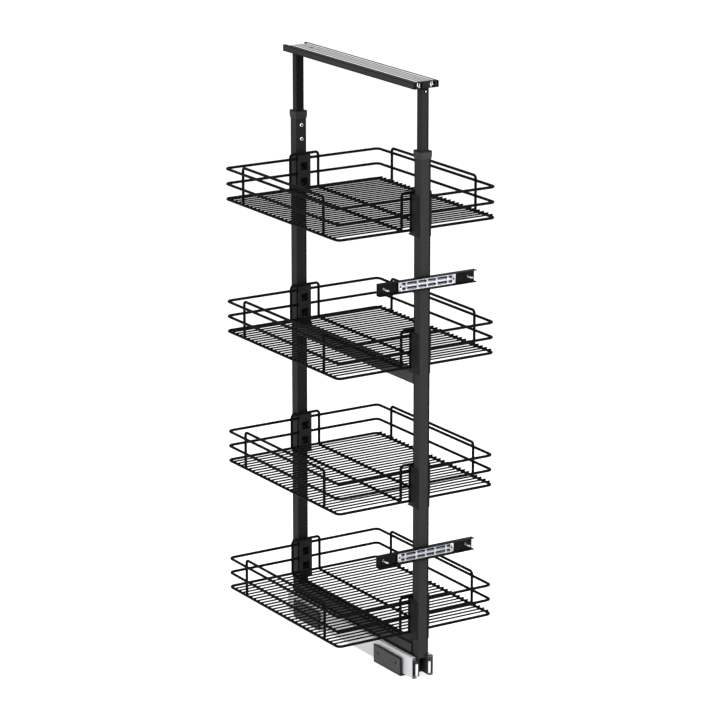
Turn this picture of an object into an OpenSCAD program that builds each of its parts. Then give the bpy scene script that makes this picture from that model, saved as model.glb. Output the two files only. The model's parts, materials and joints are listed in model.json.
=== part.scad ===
// Pull out larder unit for a tall kitchen cabinet.
// Origin: centre of the footprint, on the cabinet floor. +Z up, +X right, the door side faces -Y.

/* [Frame] */
// Depth of the frame over both uprights
frame_depth = 508; // [440:1:600]
// Side of the square upright tube
upright_side = 25; // [22:0.5:30]
// Wall of the upright tube
upright_wall = 1.5; // [1.2:0.1:2]
// Height of the top end of the upright tubes above the cabinet floor
upright_top = 1127; // [1110:1:1250]
// Side of the square inner tube that telescopes in the upright
inner_side = 18; // [16:0.5:18.5]
// Wall of the inner tube
inner_wall = 1.5; // [1:0.1:2]
// Length of inner tube that shows above the upright
inner_shown = 130; // [115:1:200]
// Length of inner tube that stays inside the upright
inner_hidden = 250; // [200:1:300]
// Height of each cross rail
rail_height = 25; // [18:0.5:30]

/* [Baskets] */
// Width of a basket between the centres of its side wires
basket_width = 380; // [300:1:420]
// Pitch between two baskets
basket_pitch = 288; // [270:1:295]
// Height of the lowest basket's bottom ring above the cabinet floor
first_basket = 98; // [92:1:110]
// Pitch between the ring wires of a basket
ring_pitch = 32.6; // [28:0.1:34]
// Diameter of the ring wires
ring_wire = 6; // [4:0.1:6.4]
// Corner radius of the ring wires, at their centre
ring_corner = 10; // [8:1:30]
// Diameter of the floor grid wires
grid_wire = 3.6; // [2.5:0.1:4]
// Pitch of the floor grid wires
grid_pitch = 15.6; // [14:0.1:20]
// Diameter of the side guard and hanger wires
hanger_wire = 6; // [4:0.1:6.4]
// Distance between the two legs of a hanger
hanger_width = 69.4; // [60:0.2:90]
// Distance between the two legs of a side guard
guard_length = 320; // [240:1:340]
// Height of the side guard's top wire above the bottom ring
guard_rise = 77.5; // [76:0.5:100]

/* [Basket holders] */
// Thickness of a holder's plates
holder_wall = 2.8; // [2.4:0.1:3.2]
// Thickness of a holder's back plate
holder_back = 2; // [1.6:0.1:2.2]
// Depth of a holder below the bottom ring's centre
holder_drop = 11; // [9:0.5:14]
// Side of the square windows in a holder
window_side = 17.5; // [12:0.5:20]

/* [Slides] */
// Height of a ball bearing slide
slide_height = 45.4; // [44:0.1:48]
// Thickness of a ball bearing slide
slide_thick = 12.7; // [12.4:0.1:13.5]
// Thickness of the slide members' sheet
slide_sheet = 1.2; // [1:0.1:1.3]
// Length of the two bottom slides
slide_length = 504; // [440:1:600]
// Length of the top slide
top_slide_length = 484; // [430:1:580]
// Full travel of the unit out of the cabinet
pull_travel = 480; // [300:1:500]
// Length of a ball retainer
retainer_length = 200; // [150:1:220]
// Balls in one row of a retainer
balls_in_row = 8; // [4:1:8]

/* [Floor brackets] */
// Length of a floor bracket
bracket_length = 105; // [90:1:130]
// Distance between the centres of the two floor brackets
bracket_spread = 329; // [280:1:360]
// Distance between a slide and the floor brackets' cheek beside it
cheek_stand = 5; // [3:0.5:8]
// Sheet of the floor brackets
bracket_sheet = 3; // [2.5:0.1:4]
// Height of a floor bracket's cheeks
bracket_height = 40; // [36:0.5:44]
// Diameter of the floor screw holes
floor_hole = 5.5; // [4:0.1:6.5]

/* [Top channel] */
// Width of the top channel
channel_width = 59; // [56:0.5:70]
// Height of the top channel
channel_height = 13.5; // [11:0.5:14]
// Sheet of the top channel
channel_wall = 1.5; // [1.2:0.1:2]

/* [Door brackets] */
// Length of a door bracket
door_bracket_length = 236; // [200:1:300]
// Height of a door bracket
door_bracket_height = 26; // [23:0.5:28]
// Depth of a door bracket's flanges
door_bracket_depth = 12; // [10:0.5:16]
// Height of the upper door bracket's centre
upper_door_bracket_at = 857.5; // [820:0.5:900]
// Height of the lower door bracket's centre
lower_door_bracket_at = 280.5; // [250:0.5:320]
// Length of the adjuster plate
adjuster_length = 138; // [136:1:160]
// Sideways adjustment of a door bracket, each way
door_side_play = 4; // [2:0.5:6]

/* [Hidden] */
$fn = 48;

// Shared clearances
seat_gap = 0.3;          // between a moving piece and what it seats on
slip_gap = 0.5;          // beside a piece that lifts or slides past
screw_gap = 0.2;         // round a screw in a plain hole
tube_bend = 1.2;         // outer corner radius of a tube, in walls
weld_sink = 0.6;         // how far two welded wires sink into each other
cut = 1;                 // how far a cutting solid runs past a face

// Heights and depths that the pieces share
side_x = upright_side / 2;                          // side faces of uprights, rails and carriage
upright_y = (frame_depth - upright_side) / 2;       // centre of an upright
face_y = frame_depth / 2 - upright_side;            // inner face of an upright
slide_z = bracket_sheet + slide_height / 2;         // centre of the bottom slides
frame_z = bracket_sheet + slide_height + slip_gap;  // underside of uprights and lower rail
inner_top = upright_top + inner_shown;              // head of the inner tubes
bracket_x = side_x + slide_thick;                   // outer faces of the bottom slides
cheek_x = bracket_x + cheek_stand;                  // inner faces of the floor bracket cheeks
screw_reach = (upright_side - inner_side) / 2 - seat_gap;   // a screw's way in before the inner tube

// Screws
m3_hole = 3.4;
m3_shank = 3;
m4_hole = 4.4;
m4_shank = 4;
m5_shank = 5;
pan_head = 8;
low_head_height = 1.8;   // low heads, so that the baskets lift past them
flush_head_height = 1.2;
recess_share = 0.56;     // width of a cross recess as a share of its head
recess_slot = 1.2;
recess_depth = 1;
flat_head = 7.4;

// A cylinder along Y from y0 to y1
module along_y(d, y0, y1) {
    translate([0, y0, 0]) rotate([-90, 0, 0]) cylinder(d = d, h = y1 - y0);
}

// A cylinder along X from x0 to x1
module along_x(d, x0, x1) {
    translate([x0, 0, 0]) rotate([0, 90, 0]) cylinder(d = d, h = x1 - x0);
}

// A box given by its low and high corners
module box(low, high) {
    translate(low) cube(high - low);
}

// A rectangle with round corners, from its low to its high corner
module round_rect(low, high, r) {
    translate([low[0] + r, low[1]]) square([high[0] - low[0] - 2 * r, high[1] - low[1]]);
    translate([low[0], low[1] + r]) square([high[0] - low[0], high[1] - low[1] - 2 * r]);
    for (x = [low[0] + r, high[0] - r], y = [low[1] + r, high[1] - r])
        translate([x, y]) circle(r);
}

// Section of a square tube, with its corners rounded by one wall and a half outside
module tube_section(side, wall) {
    half = side / 2;
    difference() {
        round_rect([-half, -half], [half, half], tube_bend * wall);
        round_rect([wall - half, wall - half], [half - wall, half - wall], (tube_bend - 1) * wall);
    }
}

// A square tube along Z
module square_tube(side, wall, z0, z1) {
    translate([0, 0, z0]) linear_extrude(z1 - z0) tube_section(side, wall);
}

// ---------------------------------------------------------------- slides
// A slide is drawn lying across: x is its thickness from the outer member's back, y its height.
// It is extruded along its length.

half_h = slide_height / 2;
ball_outer = 3.2;
ball_inner = 3.1;
ball_gap = 0.1;
lip = 1.5;               // rolled edge of a member
slide_bend = 0.5;        // inner radius of a member's bends
outer_depth = 10;        // how deep the outer member's flanges reach
middle_back = 2.2;       // back of the middle member
middle_depth = 10.8;
inner_reach = 4.6;       // edge of the inner member's flanges
middle_half = half_h - slide_sheet - ball_outer - 2 * ball_gap;
inner_half = middle_half - slide_sheet - ball_inner - 2 * ball_gap;
inner_web_half = inner_half + 2.6;       // the inner member's web stands past its flanges
outer_ball_y = half_h - slide_sheet - ball_gap - ball_outer / 2;
inner_ball_y = middle_half - slide_sheet - ball_gap - ball_inner / 2;
outer_ball_x = 5.6;
inner_ball_x = 6.6;
cage_sheet = 0.4;
cage_arm = 0.8;
cage_clear = 0.3;        // between a retainer and the member behind it
cage_past_ball = 2;      // how far a retainer's arms reach past the balls' centres

// C section: web from x0, flanges to x1, outer height 2 * half, edges rolled inwards by edge
module c_section(x0, x1, half, sheet, edge) {
    bend = slide_bend + sheet;
    difference() {
        round_rect([x0, -half], [x1, half], bend);
        round_rect([x0 + sheet, sheet - half], [x1 - sheet, half - sheet], slide_bend);
        translate([x1 - bend, sheet + edge - half]) square([2 * bend, 2 * (half - sheet - edge)]);
    }
}

module outer_section() {
    c_section(0, outer_depth, half_h, slide_sheet, lip);
}

module middle_section() {
    c_section(middle_back, middle_depth, middle_half, slide_sheet, slide_sheet);
}

module inner_section() {
    difference() {
        union() {
            translate([inner_reach, -inner_half]) square([slide_thick - inner_reach, 2 * inner_half]);
            translate([slide_thick - slide_sheet, -inner_web_half]) square([slide_sheet, 2 * inner_web_half]);
        }
        translate([inner_reach - slide_sheet, -inner_half + slide_sheet])
            square([slide_thick - inner_reach, 2 * (inner_half - slide_sheet)]);
    }
}

// Extrudes a section along Y over a length centred at y = at
module slide_bar(length, at = 0) {
    translate([0, at + length / 2, 0]) rotate([90, 0, 0]) linear_extrude(length) children();
}

// A ball retainer: thin web, two arms with a hole for each ball, and the balls
module ball_cage(web_x, ball_x, ball_y, ball) {
    row_pitch = retainer_length / balls_in_row;
    rows = [for (i = [0 : balls_in_row - 1]) (i - (balls_in_row - 1) / 2) * row_pitch];
    difference() {
        slide_bar(retainer_length) union() {
            translate([web_x, -ball_y]) square([cage_sheet, 2 * ball_y]);
            for (s = [-1, 1])
                translate([web_x, s * ball_y - cage_arm / 2])
                    square([ball_x + cage_past_ball - web_x, cage_arm]);
        }
        for (y = rows, s = [-1, 1])
            translate([ball_x, y, s * ball_y - ball / 2])
                cylinder(d = ball + 2 * ball_gap, h = ball);
    }
    for (y = rows, s = [-1, 1])
        translate([ball_x, y, s * ball_y]) sphere(d = ball);
}

module outer_cage() {
    ball_cage(slide_sheet + cage_clear, outer_ball_x, outer_ball_y, ball_outer);
}

module inner_cage() {
    ball_cage(middle_back + slide_sheet + cage_clear, inner_ball_x, inner_ball_y, ball_inner);
}

// Puts a slide beside the carriage, outer member outside; side is -1 for left and 1 for right
module beside_carriage(side) {
    translate([side * bracket_x, 0, slide_z]) scale([-side, 1, 1]) children();
}

// Lays the top slide flat in the top channel, outer member on top
bumper_depth = 6;
top_slide_at = bumper_depth - (frame_depth - top_slide_length) / 2;
top_floor = inner_top + channel_wall;
module in_top_channel() {
    translate([0, top_slide_at, top_floor + slide_thick]) rotate([0, 90, 0]) children();
}

// Countersunk screw along +X with its flat head at x = 0 and its end at x = length
module flat_screw(length) {
    rotate([0, 90, 0]) {
        cylinder(d1 = flat_head, d2 = m4_shank, h = slide_sheet);
        cylinder(d = m4_shank, h = length);
    }
}

module flat_screw_hole() {
    rotate([0, 90, 0]) {
        cylinder(d1 = flat_head, d2 = m4_shank, h = slide_sheet);
        translate([0, 0, -cut]) cylinder(d = m4_shank, h = slide_thick);
    }
}

bracket_slot_spread = 68;       // between the two slots of a cheek
bracket_slot_z = 24;
slide_screw_ys = [for (c = [-1, 1], s = [-1, 1]) c * bracket_spread / 2 + s * bracket_slot_spread / 2];
end_screw_inset = 40;           // from the end of a slide to its end screw
carriage_screw_ys = [for (i = [-1 : 1]) i * (slide_length / 2 - end_screw_inset)];
top_screw_ys = [for (s = [-1, 1]) s * (top_slide_length / 2 - end_screw_inset)];

// Screw holes for the cabinet's top, measured from the middle of the frame
cabinet_hole = 4.5;
end_hole_y = 212;
cabinet_hole_ys = [end_hole_y, 160, 28, -end_hole_y, -226];
cabinet_slot_y = 188;
cabinet_slot_length = 16;

module slide_outer_bar() {
    difference() {
        slide_bar(slide_length) outer_section();
        for (y = slide_screw_ys)
            translate([slide_sheet, y, bracket_slot_z - slide_z]) rotate([0, 0, 180]) flat_screw_hole();
    }
}

// A bottom slide's inner member, with a bent tab across its front end
slide_tab = 6.2;
slide_tab_top = 9.1;     // over the slide's middle
module slide_inner_bar() {
    front = -slide_length / 2;
    difference() {
        union() {
            slide_bar(slide_length) inner_section();
            box([slide_thick - slide_tab, front - slide_sheet, -inner_web_half], [slide_thick, front, slide_tab_top]);
            box([slide_thick - slide_sheet, front - slide_sheet, -inner_web_half],
                [slide_thick, front + slide_sheet, slide_tab_top]);
        }
        for (y = carriage_screw_ys)
            translate([slide_thick - slide_sheet, y, 0]) flat_screw_hole();
    }
}

module left_slide_outer() {
    color("gainsboro") beside_carriage(-1) slide_outer_bar();
}

module right_slide_outer() {
    color("gainsboro") beside_carriage(1) slide_outer_bar();
}

module left_slide_middle() {
    color("whitesmoke") beside_carriage(-1) slide_bar(slide_length) middle_section();
}

module right_slide_middle() {
    color("whitesmoke") beside_carriage(1) slide_bar(slide_length) middle_section();
}

module left_slide_inner() {
    color("gainsboro") beside_carriage(-1) slide_inner_bar();
}

module right_slide_inner() {
    color("gainsboro") beside_carriage(1) slide_inner_bar();
}

module left_outer_ball_cage() {
    color("silver") beside_carriage(-1) outer_cage();
}

module left_inner_ball_cage() {
    color("silver") beside_carriage(-1) inner_cage();
}

module right_outer_ball_cage() {
    color("silver") beside_carriage(1) outer_cage();
}

module right_inner_ball_cage() {
    color("silver") beside_carriage(1) inner_cage();
}

// ---------------------------------------------------------------- floor brackets

bracket_slot_width = 4.6;
bracket_slot_height = 8;
spacer_side = 14;        // diameter of the raised spacers between a cheek and its slide
floor_hole_spread = 70;

module floor_bracket(at) {
    color("dimgray") translate([0, at, 0]) difference() {
        union() {
            difference() {
                box([-cheek_x - bracket_sheet, -bracket_length / 2, 0],
                    [cheek_x + bracket_sheet, bracket_length / 2, bracket_height]);
                box([-cheek_x, -bracket_length / 2 - cut, bracket_sheet],
                    [cheek_x, bracket_length / 2 + cut, bracket_height + cut]);
            }
            for (x = [-1, 1], y = [-1, 1]) scale([x, y, 1])
                translate([0, bracket_slot_spread / 2, bracket_slot_z])
                    along_x(spacer_side, bracket_x, cheek_x + bracket_sheet / 2);
        }
        for (s = [-1, 1]) {
            translate([0, s * floor_hole_spread / 2, -cut]) cylinder(d = floor_hole, h = bracket_sheet + 2 * cut);
            translate([0, s * bracket_slot_spread / 2, bracket_slot_z]) upright_slot();
        }
    }
}

// Upright slot through both cheeks
module upright_slot() {
    reach = cheek_x + bracket_sheet + cut;
    end = (bracket_slot_height - bracket_slot_width) / 2;
    for (s = [-1, 1])
        translate([0, 0, s * end]) along_x(bracket_slot_width, -reach, reach);
    box([-reach, -bracket_slot_width / 2, -end], [reach, bracket_slot_width / 2, end]);
}

module floor_bracket_front() {
    floor_bracket(-bracket_spread / 2);
}

module floor_bracket_rear() {
    floor_bracket(bracket_spread / 2);
}

module floor_bracket_screws() {
    color("dimgray") for (side = [-1, 1], y = slide_screw_ys)
        translate([side * (bracket_x - slide_sheet), y, bracket_slot_z])
            scale([side, 1, 1]) flat_screw(slide_sheet + cheek_stand + bracket_sheet - slip_gap);
}

// ---------------------------------------------------------------- carriage and frame

carriage_wall = 2;
carriage_lift = 4;       // between the floor brackets' base and the carriage
carriage_foot = bracket_sheet + carriage_lift;
carriage_screw_grip = 1; // thread of a carriage screw inside the carriage

module carriage() {
    color([0.16, 0.16, 0.17]) difference() {
        box([-side_x, -frame_depth / 2, carriage_foot], [side_x, frame_depth / 2, frame_z]);
        box([-side_x + carriage_wall, -frame_depth / 2 - cut, carriage_foot - cut],
            [side_x - carriage_wall, frame_depth / 2 + cut, frame_z - carriage_wall]);
        for (y = carriage_screw_ys)
            translate([0, y, slide_z]) along_x(m4_shank, -upright_side, upright_side);
    }
}

module carriage_screws() {
    color("silver") for (side = [-1, 1], y = carriage_screw_ys)
        translate([side * (side_x + slide_sheet), y, slide_z])
            scale([-side, 1, 1]) flat_screw(slide_sheet + carriage_wall + carriage_screw_grip);
}

// A cross rail between the uprights with its top at the height given
module cross_rail(top) {
    bend = tube_bend * upright_wall;
    color([0.2, 0.2, 0.21]) translate([0, face_y, top - rail_height / 2]) rotate([90, 0, 0])
        linear_extrude(2 * face_y) difference() {
            round_rect([-side_x, -rail_height / 2], [side_x, rail_height / 2], bend);
            round_rect([upright_wall - side_x, upright_wall - rail_height / 2],
                [side_x - upright_wall, rail_height / 2 - upright_wall], bend - upright_wall);
        }
}

middle_rail_top = first_basket + 2 * basket_pitch - holder_drop;   // the third basket's holders stand on it

module lower_rail() {
    cross_rail(frame_z + rail_height);
}

module middle_rail() {
    cross_rail(middle_rail_top);
}

// Height screws: two on the inner face of each upright, below the collar
collar_skirt = 10;
collar_sleeve = 20;
collar_cap = 2;
collar_wall = 1.2;
collar_band = 5;         // thin band under the skirt
collar_band_wall = 0.6;
height_screw_first = 29; // from an upright's top to its upper screw
height_screw_pitch = 30;
height_screw_zs = [for (i = [0, 1]) upright_top - height_screw_first - i * height_screw_pitch];

// Holder levels: the bottom ring of each basket, counted from the top basket down
ring_zs = [for (i = [3 : -1 : 0]) first_basket + i * basket_pitch];
window_first = 6.5;      // lower edge of the lower window over the ring's centre
window_pitch = 33.5;
holder_screw_zs = [for (i = [0, 1]) window_first + window_side / 2 + i * window_pitch];

// An upright at the rear; the front one is its mirror image and also carries the door brackets
module upright(front) {
    color([0.2, 0.2, 0.21]) difference() {
        translate([0, upright_y, 0]) square_tube(upright_side, upright_wall, frame_z, upright_top);
        for (z = height_screw_zs)
            translate([0, 0, z]) along_y(m5_shank, face_y - cut, upright_y);
        for (ring = ring_zs, z = holder_screw_zs)
            translate([0, 0, ring + z]) along_y(m4_shank, face_y - cut, upright_y);
        if (front)
            for (at = [upper_door_bracket_at, lower_door_bracket_at], s = [-1, 1])
                translate([0, 0, at + s * door_screw_z]) along_y(m4_shank, upright_y, frame_depth / 2 + cut);
    }
}

module rear_upright() {
    upright(false);
}

module front_upright() {
    mirror([0, 1, 0]) upright(true);
}

// Collar: skirt outside the upright, cap on its end, sleeve in the gap round the inner tube
module collar() {
    sleeve = side_x - upright_wall - screw_gap;
    hollow = inner_side / 2 + seat_gap;
    skirt = side_x + collar_wall;
    band = side_x + collar_band_wall;
    skirt_z = upright_top - collar_skirt;
    low = upright_top - collar_sleeve;
    high = upright_top + collar_cap;
    color([0.11, 0.11, 0.12]) translate([0, upright_y, 0]) difference() {
        union() {
            box([-skirt, -skirt, skirt_z], [skirt, skirt, high]);
            box([-band, -band, skirt_z - collar_band], [band, band, skirt_z]);
            box([-sleeve, -sleeve, low], [sleeve, sleeve, upright_top]);
        }
        difference() {
            box([-side_x, -side_x, skirt_z - collar_band - cut], [side_x, side_x, upright_top]);
            box([-sleeve, -sleeve, low], [sleeve, sleeve, upright_top]);
        }
        box([-hollow, -hollow, low - cut], [hollow, hollow, high + cut]);
    }
}

module rear_collar() {
    collar();
}

module front_collar() {
    mirror([0, 1, 0]) collar();
}

module height_screws() {
    color("silver") for (s = [-1, 1], z = height_screw_zs)
        scale([1, s, 1]) translate([0, 0, z]) pan_screw(pan_head, m5_shank, face_y, screw_reach);
}

// Low pan-head screw along +Y: head seated on the face at y = face, shank of the given length behind it
module pan_screw(head, shank, face, length) {
    dome = low_head_height / 2;
    difference() {
        union() {
            along_y(head, face - dome, face);
            translate([0, face - dome, 0]) rotate([90, 0, 0])
                cylinder(d1 = head, d2 = head - 2 * dome, h = dome);
        }
        cross_recess(head, face - low_head_height);
    }
    along_y(shank, face, face + length);
}

// Cross recess in a head whose top is at y = top
module cross_recess(head, top) {
    arm = head * recess_share / 2;
    for (a = [0, 90])
        rotate([0, a, 0]) box([-arm, top - cut, -recess_slot / 2], [arm, top + recess_depth, recess_slot / 2]);
}

// ---------------------------------------------------------------- telescopic top

module inner_tube() {
    color([0.13, 0.13, 0.14]) difference() {
        translate([0, upright_y, 0])
            square_tube(inner_side, inner_wall, upright_top - inner_hidden, inner_top);
        translate([0, 0, inner_top - head_screw_drop])
            along_y(m3_hole, upright_y, upright_y + inner_side);
    }
}

module rear_inner_tube() {
    inner_tube();
}

module front_inner_tube() {
    mirror([0, 1, 0]) inner_tube();
}

head_screw_drop = 7;
head_screw_head = 5;
head_screw_grip = 5;     // thread of a channel screw below the channel
head_plug = 24;          // how far the head bracket reaches into the inner tube
head_sheet = 3;

// Head bracket: angle in the tube's mouth, held by the head screw, with a tongue through the channel floor
module head_bracket() {
    inside = inner_side / 2 - inner_wall - screw_gap;
    color([0.1, 0.1, 0.11]) translate([0, upright_y, 0]) difference() {
        union() {
            box([-inside, inside - head_sheet, inner_top - head_plug], [inside, inside, inner_top]);
            box([-inside, -inside, inner_top - head_sheet], [inside, inside, inner_top]);
        }
        translate([0, 0, inner_top - head_screw_drop]) along_y(m3_shank, 0, inner_side);
        translate([0, 0, inner_top - head_sheet - cut]) cylinder(d = m4_shank, h = head_sheet + 2 * cut);
    }
}

module rear_head_bracket() {
    head_bracket();
}

module front_head_bracket() {
    mirror([0, 1, 0]) head_bracket();
}

// Head screws: one through each inner tube's outer face, one down through the channel floor
module head_screws() {
    face = upright_y + inner_side / 2;
    color("silver") for (s = [-1, 1]) scale([1, s, 1]) {
        translate([0, 0, inner_top - head_screw_drop]) mirror([0, 1, 0])
            pan_screw(head_screw_head, m3_shank, -face, inner_wall + screw_gap + head_sheet);
        translate([0, upright_y, inner_top - head_screw_grip])
            cylinder(d = m4_shank, h = head_screw_grip + channel_wall);
    }
}

channel_pocket = slide_height / 2 + slip_gap;

module top_channel() {
    half = channel_width / 2;
    color([0.2, 0.2, 0.21]) difference() {
        box([-half, -frame_depth / 2, inner_top], [half, frame_depth / 2, inner_top + channel_height]);
        box([-channel_pocket, -frame_depth / 2 - cut, top_floor],
            [channel_pocket, frame_depth / 2 + cut, inner_top + channel_height + cut]);
        for (s = [-1, 1]) scale([s, 1, 1])
            box([channel_pocket + channel_wall, -frame_depth / 2 - cut, top_floor],
                [half - channel_wall, frame_depth / 2 + cut, inner_top + channel_height - channel_wall]);
        for (s = [-1, 1])
            translate([0, s * upright_y, inner_top - cut]) cylinder(d = m4_shank, h = channel_wall + 2 * cut);
        for (y = top_screw_ys)
            translate([0, top_slide_at + y, inner_top - cut]) cylinder(d = m4_shank, h = channel_wall + 2 * cut);
    }
}

// Two grooves pressed along the top slide's back
slide_groove = 2.4;
slide_groove_depth = 0.6;
slide_groove_at = 14;

module top_slide_outer() {
    slot_reach = (cabinet_slot_length - cabinet_hole) / 2;
    groove_end = top_slide_length / 2 + cut;
    color("gainsboro") in_top_channel() difference() {
        slide_bar(top_slide_length) outer_section();
        for (s = [-1, 1]) translate([0, 0, s * slide_groove_at])
            box([-cut, -groove_end, -slide_groove / 2], [slide_groove_depth, groove_end, slide_groove / 2]);
        for (y = cabinet_hole_ys)
            translate([0, y - top_slide_at, 0]) along_x(cabinet_hole, -cut, slide_sheet + cut);
        translate([0, cabinet_slot_y - top_slide_at, 0]) {
            for (s = [-1, 1])
                translate([0, s * slot_reach, 0]) along_x(cabinet_hole, -cut, slide_sheet + cut);
            box([-cut, -slot_reach, -cabinet_hole / 2], [slide_sheet + cut, slot_reach, cabinet_hole / 2]);
        }
    }
}

module top_slide_middle() {
    color("whitesmoke") in_top_channel() slide_bar(top_slide_length) middle_section();
}

module top_slide_inner() {
    color("gainsboro") in_top_channel() difference() {
        slide_bar(top_slide_length) inner_section();
        for (y = top_screw_ys)
            translate([slide_thick - slide_sheet, y, 0]) flat_screw_hole();
    }
}

module top_outer_ball_cage() {
    color("silver") in_top_channel() outer_cage();
}

module top_inner_ball_cage() {
    color("silver") in_top_channel() inner_cage();
}

module top_slide_screws() {
    color("silver") in_top_channel() for (y = top_screw_ys)
        translate([slide_thick - slide_sheet, y, 0]) flat_screw(slide_sheet + channel_wall);
}

// Bumper block at the front end of the top channel, which the outer member meets when the unit is closed
bumper_width = 18;
bumper_corner = 3;
bumper_wing = 2;         // its top plate covers the end of the slide

module top_bumper() {
    front = -frame_depth / 2;
    back = front + bumper_depth - seat_gap;
    top = top_floor + slide_thick;
    side = bumper_width / 2;
    color([0.08, 0.08, 0.09]) {
        box([-side, front, top_floor], [side, back, top - bumper_corner]);
        box([-side + bumper_corner, front, top - bumper_corner], [side - bumper_corner, back, top]);
        box([-slide_height / 2, front, top - bumper_wing], [slide_height / 2, back, top]);
        for (s = [-1, 1])
            translate([s * (side - bumper_corner), 0, top - bumper_corner])
                along_y(2 * bumper_corner, front, back);
    }
}

// ---------------------------------------------------------------- baskets

ring_y = face_y - holder_back - slip_gap - ring_wire / 2;     // centre of a ring's end wires
ring_x = basket_width / 2;
grid_z = ring_wire / 2 + grid_wire / 2 - weld_sink;
grid_count = floor((2 * ring_y - ring_wire) / grid_pitch);
hanger_y = ring_y - ring_wire / 2 - hanger_wire / 2 + weld_sink;
guard_x = ring_x - ring_wire / 2 - hanger_wire / 2 + weld_sink;
lip_y = ring_y - ring_wire / 2 - slip_gap;                    // back of a holder's lip
hanger_over_ring = 11.8;
hanger_top = 2 * ring_pitch + hanger_over_ring;
hanger_corner = 7;
floor_run_z = grid_z - grid_wire / 2 - hanger_wire / 2 + weld_sink;

// Closed rounded rectangle of wire, in the XY plane, centre lines at +-x and +-y
module wire_loop(x, y, corner, d) {
    for (sx = [-1, 1], sy = [-1, 1])
        scale([sx, sy, 1]) translate([x - corner, y - corner, 0])
            rotate_extrude(angle = 90) translate([corner, 0]) circle(d = d);
    for (s = [-1, 1]) {
        translate([0, s * y, 0]) along_x(d, -x + corner, x - corner);
        translate([s * x, 0, 0]) along_y(d, -y + corner, y - corner);
    }
}

// Inverted U of wire in the XZ plane: legs at +-x from z0 up, top bar at z1
module wire_arch(x, z0, z1, corner, d) {
    for (s = [-1, 1]) scale([s, 1, 1]) {
        translate([x, 0, z0]) cylinder(d = d, h = z1 - corner - z0);
        translate([x - corner, 0, z1 - corner]) rotate([90, 0, 0])
            rotate_extrude(angle = 90) translate([corner, 0]) circle(d = d);
    }
    translate([0, 0, z1]) along_x(d, -x + corner, x - corner);
}

module basket_rings(ring) {
    color([0.07, 0.07, 0.08]) translate([0, 0, ring]) {
        for (i = [0 : 2]) translate([0, 0, i * ring_pitch]) wire_loop(ring_x, ring_y, ring_corner, ring_wire);
        for (s = [-1, 1]) {
            translate([0, s * hanger_y, 0])
                wire_arch(hanger_width / 2, floor_run_z, hanger_top, hanger_corner, hanger_wire);
            translate([s * guard_x, 0, 0]) rotate([0, 0, 90])
                wire_arch(guard_length / 2, 0, guard_rise, hanger_corner, hanger_wire);
        }
    }
}

module basket_grid(ring) {
    color([0.07, 0.07, 0.08]) translate([0, 0, ring]) {
        for (i = [0 : grid_count - 1])
            translate([0, (i - (grid_count - 1) / 2) * grid_pitch, grid_z])
                along_x(grid_wire, -ring_x - ring_wire / 2, ring_x + ring_wire / 2);
        for (s = [-1, 1])
            translate([s * hanger_width / 2, 0, floor_run_z]) along_y(hanger_wire, -hanger_y, hanger_y);
    }
}

module basket_1_rings() { basket_rings(ring_zs[0]); }
module basket_2_rings() { basket_rings(ring_zs[1]); }
module basket_3_rings() { basket_rings(ring_zs[2]); }
module basket_4_rings() { basket_rings(ring_zs[3]); }
module basket_1_grid() { basket_grid(ring_zs[0]); }
module basket_2_grid() { basket_grid(ring_zs[1]); }
module basket_3_grid() { basket_grid(ring_zs[2]); }
module basket_4_grid() { basket_grid(ring_zs[3]); }

// ---------------------------------------------------------------- basket holders

wing_setback = 3;         // a holder's wings end short of the upright's outer face
wing_corner = 9;
foot_depth = 4;           // a holder's foot stands out under its lip
foot_height = 2.5;
flush_head = 8;
holder_x = side_x + holder_wall;
holder_top = hanger_top - hanger_wire / 2 - seat_gap;     // the hanger's top bar rests here
holder_ledge = -ring_wire / 2 - seat_gap;                 // the bottom ring's seat

// Saddle holder on the rear upright: back plate, two cheeks beside the tube, a lip in front of the wires
module rear_holder(ring) {
    wing_y = frame_depth / 2 - wing_setback;
    seat_y = face_y - holder_back;
    color([0.09, 0.09, 0.1]) translate([0, 0, ring]) difference() {
        union() {
            box([-holder_x, lip_y - holder_wall, -holder_drop], [holder_x, lip_y, holder_top]);
            box([-holder_x, lip_y - holder_wall, -holder_drop], [holder_x, face_y, holder_ledge]);
            box([-holder_x, lip_y - holder_wall - foot_depth, -holder_drop],
                [holder_x, lip_y, foot_height - holder_drop]);
            box([-holder_x, seat_y, -holder_drop], [holder_x, wing_y, holder_top - wing_corner]);
            box([-holder_x, seat_y, -holder_drop], [holder_x, wing_y - wing_corner, holder_top]);
            translate([0, wing_y - wing_corner, holder_top - wing_corner])
                along_x(2 * wing_corner, -holder_x, holder_x);
        }
        box([-side_x, face_y, -holder_drop - cut], [side_x, frame_depth / 2 + cut, holder_top + cut]);
        for (i = [0, 1])
            translate([0, 0, window_first + i * window_pitch])
                box([-window_side / 2, lip_y - holder_wall - cut, 0], [window_side / 2, lip_y + cut, window_side]);
        for (z = holder_screw_zs)
            translate([0, 0, z]) {
                along_y(m4_shank, seat_y - cut, face_y + cut);
                along_y(flush_head, seat_y - cut, seat_y + flush_head_height);
            }
    }
}

module front_holder(ring) {
    mirror([0, 1, 0]) rear_holder(ring);
}

module rear_holder_1() { rear_holder(ring_zs[0]); }
module rear_holder_2() { rear_holder(ring_zs[1]); }
module rear_holder_3() { rear_holder(ring_zs[2]); }
module rear_holder_4() { rear_holder(ring_zs[3]); }
module front_holder_1() { front_holder(ring_zs[0]); }
module front_holder_2() { front_holder(ring_zs[1]); }
module front_holder_3() { front_holder(ring_zs[2]); }
module front_holder_4() { front_holder(ring_zs[3]); }

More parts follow.
